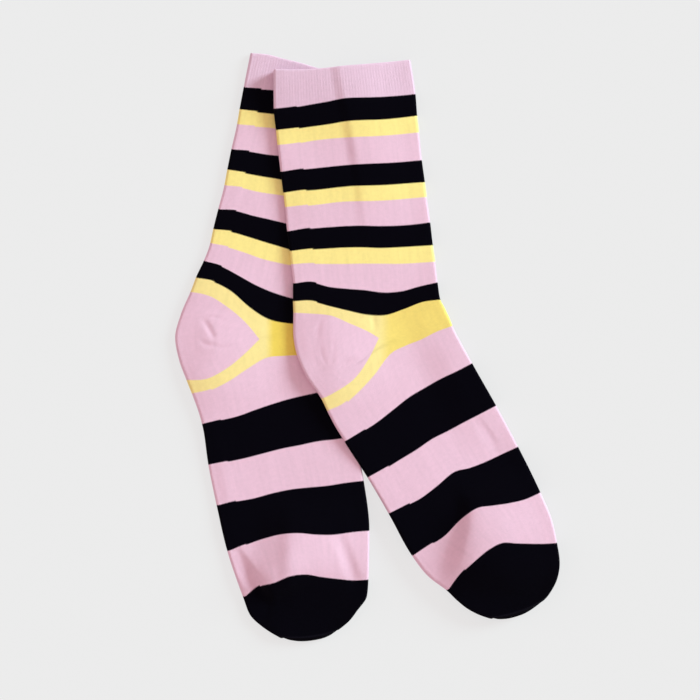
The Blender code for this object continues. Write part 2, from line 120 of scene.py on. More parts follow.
overLines = [
    Line("cuff rim", "cuffPink", -56.4, 165.6, 165.4, 165.6, 166.4, 167.6, 168.5, 169.4, 170.4, 26.1, 171.6),
    Line("black 1", "black", -56.0, 141.7, 142.8, 144.6, 146.4, 148.4, 148.8, 149.1, 149.8, 29.2, 150.8),
    Line("yellow 1", "yellow", -54.6, 129.0, 130.1, 131.5, 132.9, 134.6, 135.2, 135.5, 136.5, 30.2, 137.8),
    Line("pink 1", "pink", -53.7, 120.0, 121.2, 123.1, 124.3, 125.0, 125.4, 125.9, 126.8, 31.3, 127.9),
    Line("black 2", "black", -51.8, 103.9, 105.6, 106.7, 107.8, 108.7, 109.2, 109.6, 110.3, 33.0, 111.3),
    Line("yellow 2", "yellow", -50.2, 91.4, 92.9, 93.8, 95.0, 95.9, 96.1, 96.5, 97.3, 34.8, 98.0),
    Line("pink 2", "pink", -49.2, 82.8, 83.9, 85.0, 86.3, 86.8, 86.9, 87.4, 88.3, 35.9, 89.2),
    Line("black 3", "black", -47.9, 68.2, 70.1, 71.1, 71.8, 72.2, 71.9, 72.0, 72.7, 38.0, 74.0),
    Line("yellow 3", "yellow", -46.3, 56.4, 57.7, 58.4, 59.0, 59.1, 58.7, 59.0, 59.6, 39.6, 60.2),
    Line("pink 3", "pink", -45.6, 48.6, 49.3, 49.3, 49.3, 49.4, 49.3, 49.2, 49.7, 41.0, 50.4),
    Line("black 4", "black", -44.4, 37.0, 38.2, 35.6, 34.4, 33.5, 32.1, 32.8, 35.7, 42.5, 38.1),
    Line("heel band", "heelYellow", -44.4, 26.4, 26.7, 23.9, 21.2, 18.8, 18.5, 22.0, 26.2, 44.2, 27.7),
    Line("pocket top", "heelYellow", -44.2, 19.9, 19.4, 18.2, 13.5, 8.5, 9.6, 17.0, 21.6, 46.1, 24.2),
    Line("pocket quarter", "heelYellow", -44.3, 9.6, 8.7, 6.9, 5.4, 5.6, 8.2, 14.2, 18.6, 47.2, 22.0),
    Line("pocket half", "heelYellow", -42.6, -3.0, -3.8, -4.4, -2.8, 2.0, 6.4, 12.0, 16.2, 48.1, 19.9),
    Line("pocket low", "heelYellow", -37.8, -15.3, -16.4, -15.0, -9.6, -0.6, 4.9, 9.9, 13.9, 49.1, 17.8),
    Line("pocket end", "heelYellow", -27.6, -31.5, -26.9, -20.1, -6.6, 0.0, 3.6, 7.8, 11.9, 50.1, 15.2),
    Line("pink 4", "pink", -23.7, -39.3, -35.2, -27.2, -17.1, -4.9, 0.2, 3.9, 8.6, 51.3, 12.0),
    Line("black 5", "black", -13.4, -57.6, -51.8, -45.7, -38.3, -30.8, -25.1, -19.7, -15.2, 63.2, -10.3),
    Line("pink 5", "pink", 0.5, -79.2, -73.9, -68.0, -62.2, -55.7, -50.9, -45.7, -40.8, 77.6, -35.8),
    Line("black 6", "black", 13.1, -100.8, -95.9, -90.8, -83.5, -75.6, -73.0, -69.3, -64.8, 90.7, -60.4),
    Line("pink 6", "pink", 27.2, -126.4, -119.9, -113.7, -103.8, -97.0, -95.4, -94.0, -91.8, 104.1, -87.6),
    Line("ball of foot", "pink", 36.6, -139.0, -129.5, -121.0, -113.2, -108.4, -106.1, -105.3, -104.2,
         110.6, -103.5),
    Line("toe", "black", 47.6, -148.2, -136.6, -128.5, -121.6, -117.5, -117.8, -118.1, -118.2, 113.9, -117.8),
    Line("toe upper", "black", 54.0, -153.6, -147.0, -141.5, -137.0, -133.4, -131.8, -131.0, -130.5,
         115.6, -130.2),
    Line("toe middle", "black", 60.6, -158.1, -155.3, -152.5, -149.6, -147.0, -145.1, -143.5, -141.6,
         114.0, -139.8),
    Line("toe lower", "black", 67.3, -161.0, -160.5, -159.4, -158.0, -156.4, -154.6, -152.6, -150.0,
         110.0, -147.5),
    Line("toe edge", "black", 74.0, -162.8, -163.9, -163.9, -163.3, -162.2, -160.8, -158.7, -156.0,
         105.9, -152.7),
]

# A crease follows a path of (x, y, height) in the top layer, from the leg towards the toe. It fades
# out over one width towards the back of the sock and another towards the front.
Crease = namedtuple("Crease", "name path toBack toFront")

underCreases = [
    Crease("heel dome", [(-90.0, 22.0, 0.8), (-89.0, 3.0, 2.5), (-91.0, -12.0, 2.3)], 26.0, 55.0),
    Crease("heel pucker", [(-98.4, 15.6, -0.2), (-96.0, 12.6, -0.6), (-92.4, 6.0, -0.45)], 2.8, 2.8),
    Crease("heel pucker low", [(-99.0, 2.4, -0.3), (-95.5, 0.6, -0.4), (-92.0, 0.6, -0.2)], 2.6, 2.6),
    Crease("short rows top", [(-96.0, 16.8, -0.1), (-91.2, 17.4, -0.2), (-84.5, 14.6, 0.0)], 1.6, 1.6),
    Crease("short rows low", [(-92.0, 0.4, -0.1), (-86.0, -1.2, -0.2), (-78.6, 1.8, 0.0)], 1.8, 1.8),
    Crease("back edge at the foot", [(-97.0, -56.0, 0.0), (-94.0, -72.0, -0.5), (-90.0, -92.0, -0.5),
                                     (-86.0, -110.0, 0.0)], 4.0, 9.0),
    Crease("toe swell", [(-43.2, -90.0, 0.0), (-43.0, -100.0, 1.8), (-42.6, -110.0, 3.4),
                         (-43.8, -124.0, 4.0), (-43.4, -137.0, 3.8), (-42.0, -150.0, 2.0),
                         (-40.4, -166.0, 0.3)], 26.0, 200.0),
    Crease("toe edge", [(-45.6, -92.0, 0.0), (-45.4, -102.0, 0.4), (-45.2, -112.0, 0.8),
                        (-45.0, -136.0, 0.9), (-44.4, -150.0, 0.4), (-43.8, -160.0, 0.0)], 7.0, 200.0),
    Crease("toe fold", [(-77.5, -114.0, 0.0), (-72.8, -123.0, 0.6), (-66.8, -132.0, 1.9),
                        (-62.0, -138.4, 3.2), (-57.8, -144.8, 3.2), (-53.0, -153.0, 0.4)], 5.2, 200.0),
    Crease("toe shoulder", [(-73.0, -111.0, 0.0), (-68.5, -120.0, 0.4), (-62.5, -129.0, 1.1),
                            (-57.7, -135.5, 1.7), (-53.5, -142.0, 1.6), (-49.0, -151.0, 0.2)], 12.0, 200.0),
    Crease("toe trough back", [(-80.0, -119.0, 0.0), (-76.0, -125.8, -0.5), (-70.0, -135.0, -0.8),
                               (-65.2, -141.4, -0.8), (-61.0, -147.8, -0.5), (-58.0, -153.0, 0.0)],
           4.5, 4.0),
    Crease("toe roll", [(-81.0, -130.0, 0.0), (-79.0, -134.4, 0.3), (-76.0, -139.6, 0.6),
                        (-71.6, -146.0, 0.8), (-67.0, -152.0, 0.0)], 5.0, 5.0),
    Crease("toe trough front", [(-19.0, -108.0, -0.1), (-13.2, -123.0, -0.7), (-8.4, -137.0, -0.8),
                                (-4.8, -147.0, -0.1)], 6.5, 6.0),
]

overCreases = [
    Crease("cuff", [(-56.4, 180.0, 5.6), (-56.4, 168.0, 5.1), (-56.4, 157.0, 3.6), (-56.4, 143.0, 1.3),
                    (-56.4, 128.0, 0.0)], 8.0, 130.0),
    Crease("heel back roll", [(-44.8, 26.0, 0.0), (-44.5, 10.0, -0.8), (-42.4, -4.0, -0.8),
                              (-38.8, -13.0, -0.2), (-34.0, -21.0, 0.0)], 4.0, 11.0),
    Crease("heel band", [(3.4, 22.0, 0.0), (4.0, 15.0, -0.4), (5.0, 8.0, 0.0)], 3.0, 3.0),
    Crease("back edge at the ankle", [(-53.0, 112.0, 0.0), (-50.5, 94.0, -0.75), (-48.0, 70.0, -0.75),
                                      (-46.0, 50.0, -0.3), (-45.0, 36.0, 0.0)], 5.0, 20.0),
    Crease("heel", [(-45.0, 30.0, 0.0), (-43.0, 6.0, 1.0), (-38.0, -14.0, 2.3), (-28.0, -32.0, 2.1),
                    (-16.0, -52.0, 1.0), (-8.0, -66.0, 0.55), (2.0, -82.0, 0.2), (9.0, -94.0, 0.0)],
           8.0, 100.0),
    Crease("leg ridge", [(-17.0, 173.0, 1.0), (-13.8, 156.6, 1.05), (-5.8, 118.0, 1.2),
                         (-2.6, 98.0, 0.9), (-0.6, 78.0, 0.5), (1.5, 60.0, 0.0)], 7.0, 50.0),
    Crease("leg swell", [(-15.0, 173.0, 0.8), (-11.8, 156.6, 0.8), (-3.8, 118.0, 0.7),
                         (1.4, 78.0, 0.6), (3.0, 50.0, 0.4)], 32.0, 40.0),
    Crease("heel dome", [(-20.0, 13.0, 1.3), (-18.0, -3.0, 1.7), (-16.0, -18.0, 1.2)], 18.0, 42.0),
    Crease("short rows 1", [(-29.4, 5.4, -0.1), (-29.2, 12.0, -0.3), (-26.4, 15.6, -0.25),
                            (-21.0, 17.2, -0.2), (-12.6, 15.4, 0.0)], 2.8, 2.8),
    Crease("short rows 2", [(-27.0, 1.8, 0.0), (-27.6, -3.6, -0.2), (-25.2, -9.6, -0.1)], 1.8, 1.8),
    Crease("short rows 3", [(-20.4, 4.8, 0.0), (-19.8, -2.4, -0.2), (-21.6, -9.6, -0.1)], 2.0, 2.0),
    Crease("short rows 4", [(-19.0, -15.0, -0.1), (-13.2, -10.8, -0.3), (-8.4, -8.4, -0.1)], 3.6, 3.6),
    Crease("instep swell", [(46.0, 12.0, 1.5), (51.0, 0.6, 2.7), (57.6, -15.6, 2.8), (70.0, -39.6, 1.5),
                            (81.0, -60.0, 0.0)], 27.0, 60.0),
    Crease("foot trough", [(65.4, -44.0, -0.2), (72.6, -52.8, -0.4), (78.0, -62.4, -0.2)], 7.0, 4.0),
    Crease("toe swell", [(71.0, -70.0, 0.0), (75.0, -80.0, 1.9), (79.0, -90.0, 4.6), (83.0, -101.0, 5.8),
                         (86.0, -120.0, 6.0), (88.0, -134.0, 4.5), (89.0, -150.0, 0.5)], 58.0, 300.0),
    Crease("toe fold", [(55.5, -74.0, 0.0), (59.5, -84.0, 0.6), (63.0, -94.0, 2.0), (63.4, -102.0, 2.9),
                        (62.2, -112.0, 3.5), (60.0, -121.0, 3.6), (57.4, -130.0, 3.2),
                        (54.8, -138.0, 2.1), (52.0, -150.0, 0.2)], 8.0, 300.0),
    Crease("toe shoulder", [(61.5, -74.0, 0.0), (65.5, -84.0, 0.4), (69.0, -94.0, 1.1), (69.4, -102.0, 1.5),
                            (68.2, -112.0, 1.7), (66.0, -121.0, 1.8), (63.4, -130.0, 1.7),
                            (60.8, -138.0, 1.1), (58.0, -150.0, 0.2)], 14.0, 300.0),
]

underSock = {
    "name": "sockUnderCloth",
    "node": "sock_under",
    "slot": "knit_under",
    "lines": underLines,
    "creases": underCreases,
    "apex": (-64.5, 4.1),       # front corner of the heel pocket
    "deepYellow": (3.0, 9.0, 1.0),  # starts and is full this far in front of that corner, and its share
    "jogWale": 13.0,            # where the rounds start, so each stripe steps there by one course
    "cut": (0.170, 0.405),      # metres, all round the tube, and cuff to toe down its middle
    "cutArea": 0.0605,          # square metres
}

overSock = {
    "name": "sockOverCloth",
    "node": "sock_over",
    "slot": "knit_over",
    "lines": overLines,
    "creases": overCreases,
    "apex": (7.1, 4.8),
    "deepYellow": (-1.0, 8.0, 0.65),
    "jogWale": 16.0,
    "cut": (0.170, 0.405),
    "cutArea": 0.0605,
}


def smoothThrough(knots, rows, at, steady=False, levelEnds=False):
    # smooth curves through rows of values, one row for each knot; steady ones never overshoot
    steps = np.diff(knots)[:, None]
    rises = np.diff(rows, axis=0) / steps
    slopes = np.vstack((rises[:1], np.zeros_like(rises[1:]), rises[-1:]))
    slopes[1:-1] = (rises[:-1] * steps[1:] + rises[1:] * steps[:-1]) / (steps[1:] + steps[:-1])
    if steady:
        most = 2.0 * np.minimum(np.abs(rises[:-1]), np.abs(rises[1:])) * (rises[:-1] * rises[1:] > 0.0)
        slopes[1:-1] = np.clip(slopes[1:-1], -most, most)
    if levelEnds:
        slopes[[0, -1]] = 0.0
    cell = np.clip(np.searchsorted(knots, at, side="right") - 1, 0, len(steps) - 1)
    step = steps[cell]
    part = (np.asarray(at) - knots[cell])[:, None] / step
    rest = 1.0 - part
    low = rows[cell] * (1.0 + 2.0 * part) + slopes[cell] * step * part
    high = rows[cell + 1] * (1.0 + 2.0 * rest) - slopes[cell + 1] * step * rest
    return low * rest**2 + high * part**2


def ease(part):
    part = np.clip(part, 0.0, 1.0)
    return part * part * (3.0 - 2.0 * part)


def distanceToPath(points, path):
    nearest = np.full(len(points), np.inf)
    for start, end in zip(path, path[1:]):
        line = end - start
        along = np.clip((points - start) @ line / (line @ line), 0.0, 1.0)
        nearest = np.minimum(nearest, np.linalg.norm(points - start - along[:, None] * line, axis=1))
    return nearest


def isInside(points, outline):
    inside = np.zeros(len(points), dtype=bool)
    for start, end in zip(outline, np.roll(outline, -1, axis=0)):
        spans = (start[1] > points[:, 1]) != (end[1] > points[:, 1])
        if spans.any():
            share = (points[:, 1] - start[1]) / (end[1] - start[1])
            inside ^= spans & (points[:, 0] < start[0] + share * (end[0] - start[0]))
    return inside


def makeLay(lines):
    # where each course lies, and how many mm of knitting come before it
    rows = np.array([line[2:] for line in lines])
    backs, fronts = rows[:, 0:2], rows[:, 9:11]
    middles = np.column_stack((0.5 * (backs[:, 0] + fronts[:, 0]), rows[:, 5]))
    gaps = [np.linalg.norm(np.diff(path, axis=0), axis=1) for path in (backs, middles, fronts)]
    knots = np.concatenate(([0.0], np.cumsum(np.mean(gaps, axis=0))))
    courses = np.round(knots / knit["courseHeight"])
    return {"rows": rows, "knots": knots, "courses": courses, "length": knots[-1]}


def placeCourse(lay, run, across, insets=(0.0, 0.0)):
    # points across one course, with its frontward direction and its width
    row = smoothThrough(lay["knots"], lay["rows"], np.array([run]), steady=True)[0]
    back, front = row[0:2], row[9:11]
    width = np.linalg.norm(front - back)
    share = (insets[0] + across * (width - sum(insets))) / width
    heights = np.concatenate(([row[1]], row[2:9], [row[10]]))[:, None]
    y = smoothThrough(eighths, heights, share)[:, 0]
    x = back[0] + share * (front[0] - back[0])
    return np.column_stack((x, y)), (front - back) / width, width


def sockOutline(lay):
    stepsDown, stepsAcross = knit["outlineSteps"]
    ends = np.array([0.0, 1.0])
    edges = [placeCourse(lay, run, ends)[0] for run in np.linspace(0.0, lay["length"], stepsDown)]
    across = np.linspace(0.0, 1.0, stepsAcross)
    toe = placeCourse(lay, lay["length"], across)[0]
    cuff = placeCourse(lay, 0.0, across[::-1])[0]
    back = [edge[0] for edge in edges]
    front = [edge[1] for edge in reversed(edges)]
    return np.array([*back, *toe[1:-1], *front, *cuff[1:-1]])


def distanceAlong(path):
    steps = np.linalg.norm(np.diff(path, axis=0), axis=1)
    return np.concatenate(([0.0], np.cumsum(steps)))


def smoothCrease(crease):
    path = np.array(crease.path)
    along = distanceAlong(path[:, :2])
    finer = np.linspace(0.0, along[-1], knit["creaseFineness"] * len(path))
    return crease._replace(path=smoothThrough(along, path, finer, levelEnds=True))


def creaseHeight(points, creases):
    # each point goes by the parts of the path nearest to it, and fades by its distance and side
    total = np.zeros(len(points))
    blendNear, blendAway = knit["creaseBlend"]
    for crease in creases:
        start, step = crease.path[:-1], np.diff(crease.path, axis=0)
        line = step[:, :2]
        away = points[:, None] - start[:, :2]
        along = np.clip(np.sum(away * line, axis=2) / np.sum(line**2, axis=1), 0.0, 1.0)
        away -= along[:, :, None] * line
        distance = np.linalg.norm(away, axis=2)
        nearest = distance.min(axis=1)[:, None]
        blend = np.exp((nearest - distance) / (blendNear + blendAway * nearest))
        blend /= blend.sum(axis=1)[:, None]
        height = np.sum(blend * (start[:, 2] + along * step[:, 2]), axis=1)
        side = line[:, 0] * away[:, :, 1] - line[:, 1] * away[:, :, 0]
        side /= np.linalg.norm(line, axis=1) * np.maximum(distance, tiny)
        frontShare = 0.5 + 0.5 * np.sum(blend * side, axis=1)
        width = crease.toBack + (crease.toFront - crease.toBack) * frontShare
        reach = np.sum(blend * distance, axis=1) / width
        total += height * (0.5 + 0.5 * np.cos(np.pi * np.minimum(reach, 1.0)))
    return total


def ringPattern(cellsPerWale):
    # how the points of one ring are spread round the flattened tube, from the back fold
    foldCells = knit["walesFold"] // 2 * 2
    flatCells = int(knit["walesFlat"] * cellsPerWale)
    rise = np.linspace(0.0, 0.5 * np.pi, foldCells + 1)
    flat = np.linspace(0.0, 1.0, flatCells + 1)[1:-1]
    across = np.concatenate((np.zeros(foldCells + 1), flat, np.ones(foldCells + 1)))
    turn = np.concatenate((rise, np.full(len(flat), 0.5 * np.pi), rise[::-1]))
    foldWale = 0.5 * knit["walesFold"] * rise / rise[-1]
    flatWale = foldWale[-1] + knit["walesFlat"] * flat
    wale = np.concatenate((foldWale, flatWale, layerWales - foldWale[::-1]))
    return {
        "across": np.concatenate((across, across[-2:0:-1])),
        "turn": np.concatenate((turn, -turn[-2:0:-1])),
        "wale": np.concatenate((wale, 2.0 * layerWales - wale[-2:0:-1])),
        "count": 2 * len(across) - 2,
    }


plainRing = ringPattern(1)
ribRing = ringPattern(2)
liningRing = ringPattern(0.25)


def placeRing(sock, run, pattern, inward, ribs):
    # one ring of the outer face, or a ring that lies inward of it by that much
    lay = sock["lay"]
    points, frontward, width = placeCourse(lay, run, pattern["across"], knit["foldWidths"])
    foldWidth = np.where(pattern["across"] < 0.5, *knit["foldWidths"])
    outward = np.sign(pattern["across"] - 0.5) * (foldWidth - inward) * np.cos(pattern["turn"])
    points = points + outward[:, None] * frontward
    toEnd = min((lay["length"] - run) / knit["toeRound"], 1.0)
    closing = math.sqrt(max(1.0 - (1.0 - toEnd) ** 2, 0.0))
    half = 0.5 * (knit["toeEdge"] + (flatHeight - knit["toeEdge"]) * closing) - inward
    valley = ribs * knit["ribDepth"] * (0.5 - 0.5 * np.cos(np.pi * pattern["wale"]))
    height = 0.5 * flatHeight + (half - valley) * np.sin(pattern["turn"])
    onTop = (0.5 + 0.5 * np.sin(pattern["turn"])) * closing
    fromBack = pattern["across"] * width
    (rollDepth, rollWidth), (riseHeight, riseWidth) = knit["backRoll"], knit["frontRise"]
    height -= rollDepth * ease(1.0 - fromBack / rollWidth) * onTop
    height += riseHeight * ease(1.0 - (width - fromBack) / riseWidth) * onTop
    raised = creaseHeight(points, sock["smoothCreases"])
    height += raised * onTop
    tuckShare, tuckWidth = knit["tuck"]
    edgeShare = ease(1.0 - fromBack / tuckWidth) - ease(1.0 - (width - fromBack) / tuckWidth)
    tuckedIn = tuckShare * np.maximum(raised, 0.0) * edgeShare * (1.0 - onTop) ** 2
    fromSeam = abs(lay["length"] - run - knit["toeSeamIn"]) / knit["toeSeamWidth"]
    if inward == 0.0 and fromSeam < 1.0:
        height += knit["toeSeamHeight"] * (0.5 + 0.5 * math.cos(math.pi * fromSeam)) * onTop
    height += sock["seat"](points, pattern["turn"])
    return np.column_stack((points + tuckedIn[:, None] * frontward, height))


def ringRuns(start, end, step):
    return list(np.linspace(start, end, max(int(math.ceil((end - start) / step)), 1) + 1))


def planRings(sock):
    # every ring in order: outer face from toe to cuff, over the rim, then the lining down to the toe;
    # each has its place down the sock, its pattern, how far inward it lies and its share of the ribs
    lay = sock["lay"]
    half = 0.5 * knit["wall"]
    ribEnd = knit["cuffLength"] + knit["ribFade"]
    plainStart = ribEnd + knit["ribToPlain"]
    toeStart = lay["length"] - knit["toeRound"]
    room = knit["ringRoom"]
    marks = [knot for knot in lay["knots"] if plainStart + room < knot < toeStart - room]
    marks = [plainStart, *marks, toeStart]
    backEdge = np.zeros(1)
    plainRuns = []
    for start, end in zip(marks, marks[1:]):    # as close down the heel as anywhere else
        places = [placeCourse(lay, run, backEdge)[0] for run in (start, end)]
        downBack = np.linalg.norm(places[1] - places[0])
        step = knit["ringStep"] * (end - start) / max(downBack, end - start)
        plainRuns += ringRuns(start, end, step)[:-1]
    closingRuns = [lay["length"] - knit["toeRound"] * (1.0 - math.sin(angle))
                   for angle in np.linspace(0.0, 0.5 * math.pi, knit["toeRings"])]
    rings = [(run, plainRing, 0.0, 0.0) for run in reversed(plainRuns + closingRuns)]
    for run in reversed(ringRuns(half, ribEnd, knit["ringStep"])):
        fade = ease((ribEnd - run) / knit["ribFade"])
        rings.append((run, ribRing, 0.0, float(fade)))
    for angle in np.linspace(0.0, math.pi, knit["rimRings"])[1:]:
        inward = half * (1.0 - math.cos(angle))
        ribs = 0.5 + 0.5 * math.cos(angle)
        rings.append((half * (1.0 - math.sin(angle)), ribRing, inward, ribs))
    fromRim, fromToe = knit["liningStops"]
    for run in ringRuns(half + fromRim, lay["length"] - fromToe, knit["liningStep"]):
        rings.append((run, liningRing, knit["wall"], 0.0))
    return rings


# the number of its first point, the course at each point, how far down the sock it lies
Ring = namedtuple("Ring", "first pattern courses run points")


def joinRings(ringA, ringB, faces, corners):
    # fills between two rings, which may have different numbers of points; keeps stitch counts at corners
    countA, countB = ringA.pattern["count"], ringB.pattern["count"]
    waleA = np.append(ringA.pattern["wale"], 2.0 * layerWales)
    waleB = np.append(ringB.pattern["wale"], 2.0 * layerWales)

    def cornerA(i):
        return ringA.first + i % countA, (waleA[i], ringA.courses[i % countA])

    def cornerB(i):
        return ringB.first + i % countB, (waleB[i], ringB.courses[i % countB])

    a, b = 0, 0
    while a < countA or b < countB:
        if countA == countB:
            corner = (cornerA(a), cornerA(a + 1), cornerB(b + 1), cornerB(b))
            a, b = a + 1, b + 1
        elif b == countB or (a < countA and waleA[a + 1] <= waleB[b + 1]):
            corner = (cornerA(a), cornerA(a + 1), cornerB(b))
            a += 1
        else:
            corner = (cornerA(a), cornerB(b + 1), cornerB(b))
            b += 1
        faces.append([vertex for vertex, _ in corner])
        corners.extend(place for _, place in corner)


def closeRing(ring, outwards, faces, corners):
    # joins a ring's top to its underside, from fold to fold
    count = ring.pattern["count"]
    for step in range(count // 2):
        loop = [step, -step % count, -(step + 1) % count, step + 1]
        loop = list(dict.fromkeys(loop if outwards else loop[::-1]))
        faces.append([ring.first + i for i in loop])
        corners.extend((ring.pattern["wale"][i], ring.courses[i]) for i in loop)


def spacing(pointsA, pointsB):
    # how far the second ring lies from the first, square to it
    along = np.roll(pointsA, -1, axis=0) - np.roll(pointsA, 1, axis=0)
    along /= np.maximum(np.linalg.norm(along, axis=1), tiny)[:, None]
    between = pointsB - pointsA
    return np.linalg.norm(between - np.sum(between * along, axis=1)[:, None] * along, axis=1)


heelPocket = {
    "cornerRoom": 3.0,          # the last stop of a line stays this far behind the front corner
    "pastBack": (12.0, 0.0),    # each edge runs on this far past the back fold
    "edgePoints": 60,
}


def pocketEdge(sock):
    # along the pocket's top to its front corner, and back along its end
    names = [line.name for line in sock["lines"]]
    apex = np.array(sock["apex"])
    sides = []
    for name in ("pocket top", "pocket end"):
        line = sock["lines"][names.index(name)]
        x = line.backX + eighths * (line.frontX - line.backX)
        points = np.column_stack((x, [line.backY, *line[4:11], line.frontY]))
        points = np.vstack((points[x < apex[0] - heelPocket["cornerRoom"]], apex))
        points = np.vstack((points[0] - heelPocket["pastBack"], points))
        along = distanceAlong(points)
        finer = np.linspace(0.0, along[-1], heelPocket["edgePoints"])
        sides.append(smoothThrough(along, points, finer))
    return np.vstack((sides[0], sides[1][-2::-1]))


def buildSock(sock):
    lay = sock["lay"]
    names = [line.name for line in sock["lines"]]
    pocketStart, pocketEnd = [lay["knots"][names.index(name)] for name in ("pocket top", "pocket end")]
    rings, points, folds, faces, corners = [], [], [], [], []
    for run, pattern, inward, ribs in planRings(sock):
        ringPoints = placeRing(sock, run, pattern, inward, ribs)
        course = np.interp(run, lay["knots"], lay["courses"])
        rings.append(Ring(len(points), pattern, np.full(pattern["count"], course), run, ringPoints))
        points.extend(ringPoints)
        # painted shade at the folds: each point's share of darkening, most where the fold faces sideways
        folds.extend(np.cos(pattern["turn"]) * np.where(pattern["across"] < 0.5, *yarn["foldPaintedShade"]))
    counted = None      # in the pocket, stitches are counted along each wale, as short rows add them
    for ringA, ringB in zip(rings, rings[1:]):
        bothPlain = ringA.pattern is plainRing and ringB.pattern is plainRing
        if bothPlain and pocketStart - tiny <= ringB.run and ringA.run <= pocketEnd + tiny:
            if counted is None:
                counted = ringA.courses
            nextCounted = counted - spacing(ringA.points, ringB.points) / knit["courseHeight"]
            joinRings(ringA._replace(courses=counted), ringB._replace(courses=nextCounted), faces, corners)
            counted = nextCounted
        else:
            joinRings(ringA, ringB, faces, corners)
    closeRing(rings[0], True, faces, corners)
    closeRing(rings[-1], False, faces, corners)

    mesh = bpy.data.meshes.new(sock["name"])
    mesh.from_pydata(np.array(points) * mm, [], faces)
    uv = mesh.uv_layers.new(name="stitches")
    uv.data.foreach_set("uv", np.array(corners, dtype=np.float32).ravel())
    courses = np.concatenate([ring.courses for ring in rings])
    flat = np.array(points)[:, :2]
    edge = pocketEdge(sock)
    pocket = distanceToPath(flat, edge)
    pocket = np.where(isInside(flat, edge), pocket, -pocket)
    start, full, share = sock["deepYellow"]
    deep = share * ease((flat[:, 0] - sock["apex"][0] - start) / (full - start))
    # the fold attribute carries the painted shade on the folds
    for name, values in (("course", courses), ("pocket", pocket), ("deep", deep), ("fold", folds)):
        attribute = mesh.attributes.new(name, "FLOAT", "POINT")
        attribute.data.foreach_set("value", np.array(values, dtype=np.float32))
    mesh.shade_smooth()
    mesh.update()
    piece = bpy.data.objects.new(sock["name"], mesh)
    bpy.context.scene.collection.objects.link(piece)
    print(sock["name"], len(mesh.polygons), "faces,", len(mesh.vertices), "points")
    return piece


yarnColours = {      # linear
    "pink": (0.795, 0.522, 0.640),
    "cuffPink": (0.752, 0.522, 0.644),
    "black": (0.0020, 0.0016, 0.0036),
    "yellow": (0.945, 0.775, 0.275),
    "heelYellow": (0.905, 0.735, 0.300),
    "deepYellow": (0.858, 0.640, 0.116),     # the widest part of the heel band
    # a painted highlight along the toe seam, a lighter black
    "toeSeamHighlight": (0.0060, 0.0052, 0.0098),
}

yarn = {
    "foldPaintedShade": (0.0, 0.24),   # painted shade: the yarn on the back and the front fold is this much darker, which tones down the lit fold wall
    "pocketTeeth": 0.5,         # mm that the pocket's edge steps in and out
    "stitchLean": 0.9,          # how far a stitch's legs rise, in courses
    "stitchRound": (0.6, 0.5),  # how full a leg is, along it and across it
    "stitchBump": 0.10,         # mm
    "stitchShade": 0.16,        # the gaps between the stitches are this much darker
    "plainAt": 0.62,            # at this share of a stitch's height the yarn has its own colour
    "streak": 0.05,             # uneven columns
    "streakStep": 0.37,         # from one column to the next, in the noise
    "streakLength": 50.0,       # courses
    "streakDetail": 2.0,
    "mottle": 0.05,
    "mottleScale": 0.35,
    "mottleDetail": 3.0,
    "seamHighlightCourses": 1.6,         # the painted highlight along the toe seam fades out over this many
    "roughness": 0.92,
    "specular": 0.0,
    "sheen": 0.02,
    "sheenRoughness": 0.5,
}


class YarnNodes:
    # short names for the shader nodes that the yarn is made of

    def __init__(self, tree):
        self.tree = tree

    def add(self, kind, **settings):
        node = self.tree.nodes.new(kind)
        for key, value in settings.items():
            setattr(node, key, value)
        return node

    def plug(self, socket, value):
        if isinstance(value, bpy.types.NodeSocket):
            self.tree.links.new(value, socket)
        else:
            socket.default_value = value

    def math(self, operation, *values):
        node = self.add("ShaderNodeMath", operation=operation)
        for socket, value in zip(node.inputs, values):
            self.plug(socket, value)
        return node.outputs[0]

    def mix(self, factor, first, second):
        node = self.add("ShaderNodeMix", data_type="RGBA")
        colours = [socket for socket in node.inputs if socket.type == "RGBA"]
        self.plug(node.inputs[0], factor)
        for socket, colour in zip(colours, (first, second)):
            self.plug(socket, (*colour, 1.0) if isinstance(colour, tuple) else colour)
        return next(socket for socket in node.outputs if socket.type == "RGBA")

    def between(self, value, low, high):
        above = self.math("GREATER_THAN", value, low)
        return self.math("MULTIPLY", above, self.math("LESS_THAN", value, high))

    def noise(self, place, scale, detail):
        node = self.add("ShaderNodeTexNoise", noise_dimensions="2D")
        self.plug(node.inputs["Vector"], place)
        node.inputs["Scale"].default_value = scale
        node.inputs["Detail"].default_value = detail
        return node.outputs[0]


